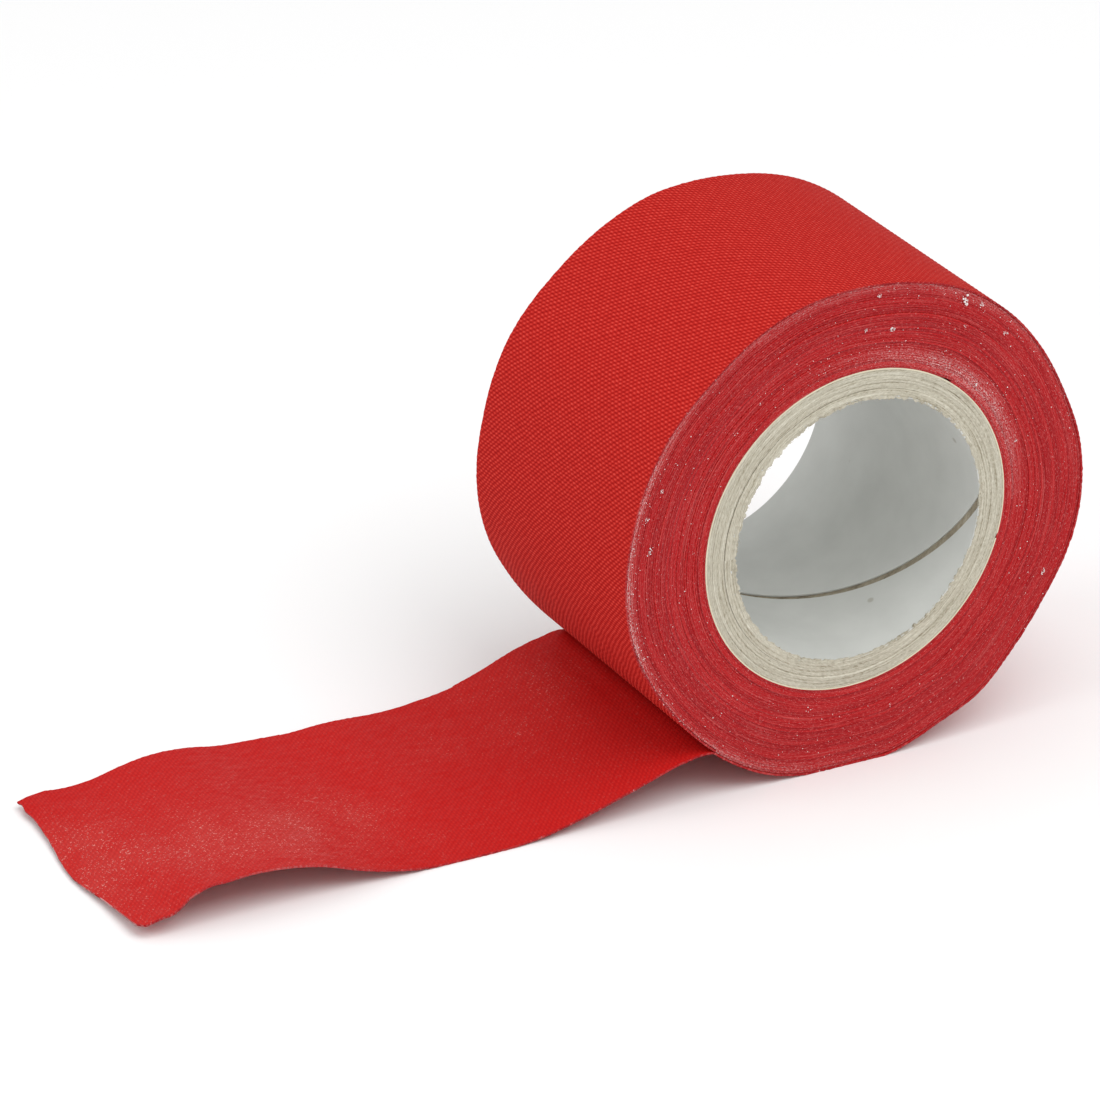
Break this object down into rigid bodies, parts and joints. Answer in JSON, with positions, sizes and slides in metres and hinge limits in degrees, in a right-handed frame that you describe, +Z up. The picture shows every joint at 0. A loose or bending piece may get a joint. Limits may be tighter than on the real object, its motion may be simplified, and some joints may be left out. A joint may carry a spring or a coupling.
{
  "type": "cloth tape roll",
  "caption": "Roll of woven cloth adhesive tape on a spiral-wound board core, with its free end peeled off and lying out flat, adhesive side up.",
  "frame": {"origin": "centre of the core's bore at half the roll's width", "axes": "+Y along the roll's axis, +Z up with the roll standing on its tread, the free tail lying towards -X"},
  "size_m": [0.1385, 0.04, 0.07],
  "materials": {
    "cloth": "plain-woven cotton backing, bright red, matt with a faint sheen",
    "adhesive": "rubber adhesive soaked into the cloth's inner face, deep red, with the weave showing through and some pale dust",
    "core_board": "uncoated grey paperboard, fibrous cut ends",
    "liner_paper": "smooth white paper",
    "wrap_paper": "thin pale kraft paper"
  },
  "bodies": {
    "roll": {"core_liner": "liner_paper", "core_board_ply_1": "core_board", "core_board_ply_2": "core_board", "core_board_ply_3": "core_board", "core_board_ply_4": "core_board", "core_outer_wrap": "wrap_paper", "wound_cloth": "cloth", "wound_adhesive": "adhesive"},
    "tail_inner": {"tail_inner_cloth": "cloth", "tail_inner_adhesive": "adhesive"},
    "tail_middle": {"tail_middle_cloth": "cloth", "tail_middle_adhesive": "adhesive"},
    "tail_outer": {"tail_outer_cloth": "cloth", "tail_outer_adhesive": "adhesive"}
  },
  "joints": [
    {"name": "peel_bend", "type": "hinge", "parent": "roll", "child": "tail_inner", "pos_m": [-0.02517, 0, -0.02772], "axis": [0, 1, 0], "range_deg": [0, 45]},
    {"name": "middle_bend", "type": "hinge", "parent": "tail_inner", "child": "tail_middle", "pos_m": [-0.0506, 0, -0.03469], "axis": [0, 1, 0], "range_deg": [0, 45]},
    {"name": "outer_bend", "type": "hinge", "parent": "tail_middle", "child": "tail_outer", "pos_m": [-0.07778, 0, -0.03198], "axis": [0, 1, 0], "range_deg": [0, 45]}
  ]
}
